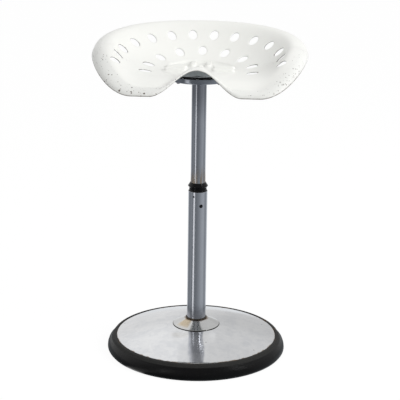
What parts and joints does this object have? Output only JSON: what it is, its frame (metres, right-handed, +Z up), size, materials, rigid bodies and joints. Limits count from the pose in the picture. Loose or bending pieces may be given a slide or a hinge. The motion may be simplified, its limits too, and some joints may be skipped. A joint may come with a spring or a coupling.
{
  "type": "tractor seat stool",
  "caption": "Height-adjustable swivel stool: perforated white tractor seat on a chromed telescopic column with a weighted round base and rubber rim.",
  "frame": {"origin": "on the column's axis at floor level, the middle of the base's flat foot", "axes": "+Z up along the column, -Y towards the sitter's front (the seat's notch), +X to the right when seen from the front"},
  "size_m": [0.466, 0.4, 0.7196],
  "materials": {
    "rubber": "black rubber, dusty and paler on top, glossy at the side",
    "cast_iron": "rough casting",
    "chrome": "polished chrome with fine scratches",
    "tube_chrome": "chromed tube, slightly dulled, rust stain above the collar",
    "black_plastic": "glossy black moulded plastic",
    "zinc_steel": "zinc plated",
    "dark_steel": "blackened steel",
    "ball_steel": "ground bearing steel",
    "grey_steel": "satin grey",
    "white_enamel": "glossy warm white enamel, chipped to dark steel along the lip"
  },
  "bodies": {
    "base": {"base_rim": "rubber", "base_ballast": "cast_iron", "base_cover": "chrome", "column_collar": "chrome", "collar_gasket": "black_plastic", "column_socket": "zinc_steel", "base_washer": "zinc_steel", "base_bolt": "zinc_steel", "outer_tube": "tube_chrome", "guide_sleeve": "black_plastic", "sleeve_pin": "dark_steel"},
    "twist_collar": {"clamp_collar": "black_plastic"},
    "column": {"inner_tube": "tube_chrome", "foot_guide": "black_plastic", "foot_guide_pin": "zinc_steel", "swivel_dish": "chrome", "lower_race": "dark_steel", "race_bolt_1": "dark_steel", "race_bolt_2": "dark_steel", "race_bolt_3": "dark_steel", "race_bolt_4": "dark_steel", "race_nut_1": "dark_steel", "race_nut_2": "dark_steel", "race_nut_3": "dark_steel", "race_nut_4": "dark_steel"},
    "bearing": {"ball_cage": "zinc_steel", "ball_01": "ball_steel", "ball_02": "ball_steel", "ball_03": "ball_steel", "ball_04": "ball_steel", "ball_05": "ball_steel", "ball_06": "ball_steel", "ball_07": "ball_steel", "ball_08": "ball_steel", "ball_09": "ball_steel", "ball_10": "ball_steel", "ball_11": "ball_steel", "ball_12": "ball_steel"},
    "seat": {"upper_race": "dark_steel", "top_plate": "grey_steel", "seat_shell": "white_enamel", "seat_bolt_1": "white_enamel", "seat_bolt_2": "white_enamel", "seat_bolt_3": "white_enamel", "seat_bolt_4": "white_enamel", "seat_nut_1": "zinc_steel", "seat_nut_2": "zinc_steel", "seat_nut_3": "zinc_steel", "seat_nut_4": "zinc_steel"}
  },
  "joints": [
    {"name": "column_height", "type": "slide", "parent": "base", "child": "column", "axis": [0, 0, 1], "range_m": [-0.18, 0.028]},
    {"name": "collar_turn", "type": "hinge", "parent": "base", "child": "twist_collar", "pos_m": [0, 0, 0.38], "axis": [0, 0, 1], "range_deg": [0, 90]},
    {"name": "seat_swivel", "type": "hinge", "parent": "column", "child": "seat", "pos_m": [0, 0, 0.63], "axis": [0, 0, 1], "continuous": true},
    {"name": "bearing_turn", "type": "hinge", "parent": "column", "child": "bearing", "pos_m": [0, 0, 0.63], "axis": [0, 0, 1], "continuous": true}
  ],
  "couplings": [
    {"joint": "bearing_turn", "follows": "seat_swivel", "ratio": 0.5}
  ]
}
